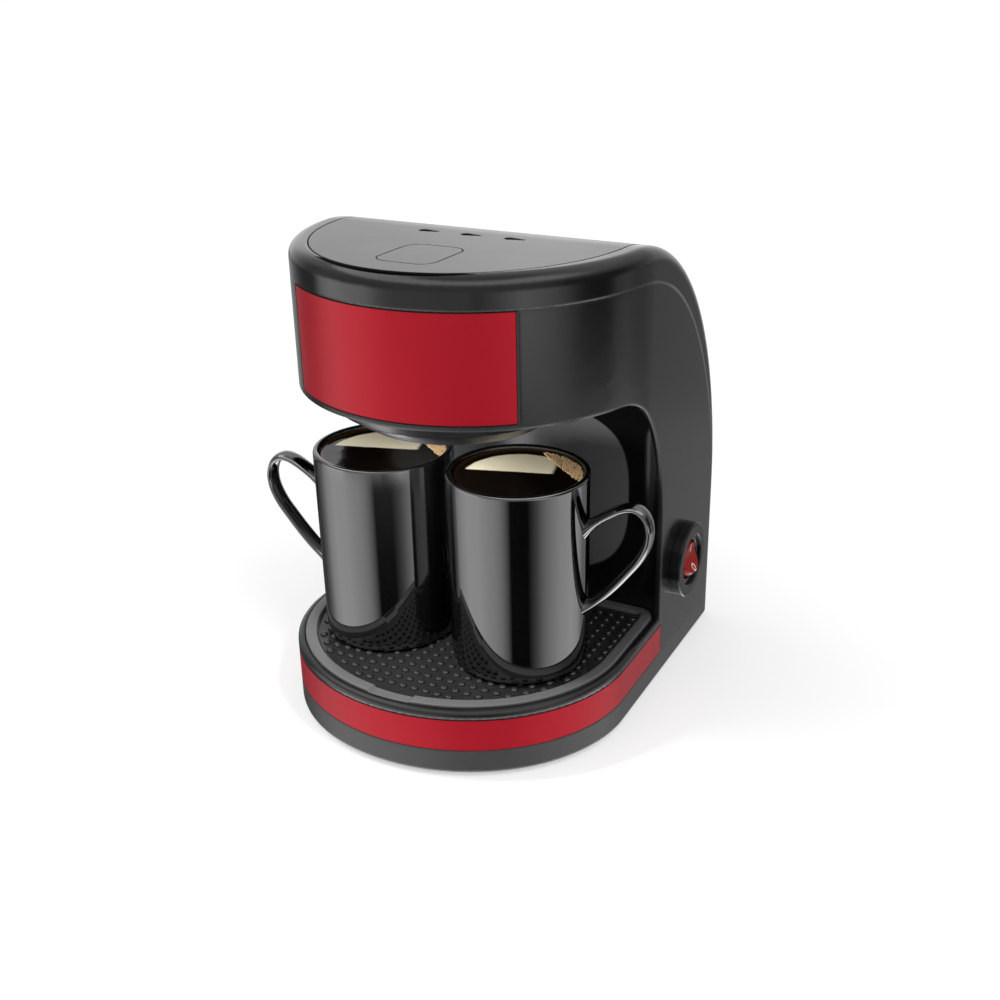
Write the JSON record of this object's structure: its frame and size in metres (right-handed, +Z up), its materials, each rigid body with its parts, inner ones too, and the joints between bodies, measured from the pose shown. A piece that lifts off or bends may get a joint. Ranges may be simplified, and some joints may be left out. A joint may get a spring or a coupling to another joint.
{
  "type": "drip coffee maker",
  "caption": "Compact drip coffee maker with a D-shaped base and drip tray, an overhanging head with a hinged lid, a curved back, red trims and black mugs under the spouts.",
  "frame": {"origin": "on the floor under the middle of the body", "axes": "+Z up, front with the mugs towards -Y, switch on the +X side"},
  "size_m": [0.2091, 0.2155, 0.237],
  "materials": {
    "charcoal_plastic": "satin charcoal moulding",
    "gloss_black_plastic": "glossy black moulding",
    "lid_plastic": "satin black moulding",
    "base_plastic": "fine textured dark grey",
    "red_metal": "satin red lacquer on sheet metal",
    "black_rubber": "matt rubber",
    "plated_steel": "zinc plated",
    "tray_plastic": "glossy black moulding with dimples",
    "filter_mesh": "fine woven mesh",
    "tank_plastic": "smoky translucent plastic",
    "silicone": "milky silicone",
    "heater_aluminium": "extruded",
    "red_lens": "translucent red switch rocker",
    "mug_glaze": "glossy black glaze"
  },
  "bodies": {
    "housing": {"main_body": "charcoal_plastic", "outer_shell": "gloss_black_plastic", "bottom_cover": "base_plastic", "red_base_band": "red_metal", "red_head_panel": "red_metal", "rubber_feet": "black_rubber", "bottom_screws": "plated_steel", "hinge_pins": "plated_steel", "hose_clamps": "plated_steel", "brew_funnel": "charcoal_plastic", "filter_basket": "charcoal_plastic", "mesh_filter": "filter_mesh", "filter_handle": "charcoal_plastic", "water_tank": "tank_plastic", "cold_hose": "silicone", "hot_hose": "silicone", "riser_tube": "tank_plastic", "heater_tube": "heater_aluminium", "thermostat": "plated_steel", "thermal_fuse": "silicone", "switch_surround": "gloss_black_plastic", "switch_module": "gloss_black_plastic", "cord_gland": "black_rubber"},
    "lid": {"lid": "lid_plastic", "lid_pad": "lid_plastic"},
    "rocker": {"rocker": "red_lens"},
    "tray": {"drip_tray": "tray_plastic"},
    "mug_left": {"mug_left": "mug_glaze"},
    "mug_right": {"mug_right": "mug_glaze"}
  },
  "joints": [
    {"name": "lid_hinge", "type": "hinge", "parent": "housing", "child": "lid", "pos_m": [0, 0.04724, 0.21354], "axis": [-1, 0, 0], "range_deg": [0, 95]},
    {"name": "switch_rocker", "type": "hinge", "parent": "housing", "child": "rocker", "pos_m": [0.0885, 0.0562, 0.0572], "axis": [0, 1, 0], "range_deg": [0, 24]},
    {"name": "tray_lift", "type": "slide", "parent": "housing", "child": "tray", "axis": [0, 0, 1], "range_m": [0, 0.0075]},
    {"name": "mug_left_out", "type": "slide", "parent": "tray", "child": "mug_left", "axis": [0, -0.9781, 0.2079], "range_m": [0, 0.15]},
    {"name": "mug_right_out", "type": "slide", "parent": "tray", "child": "mug_right", "axis": [0, -0.9781, 0.2079], "range_m": [0, 0.15]}
  ]
}
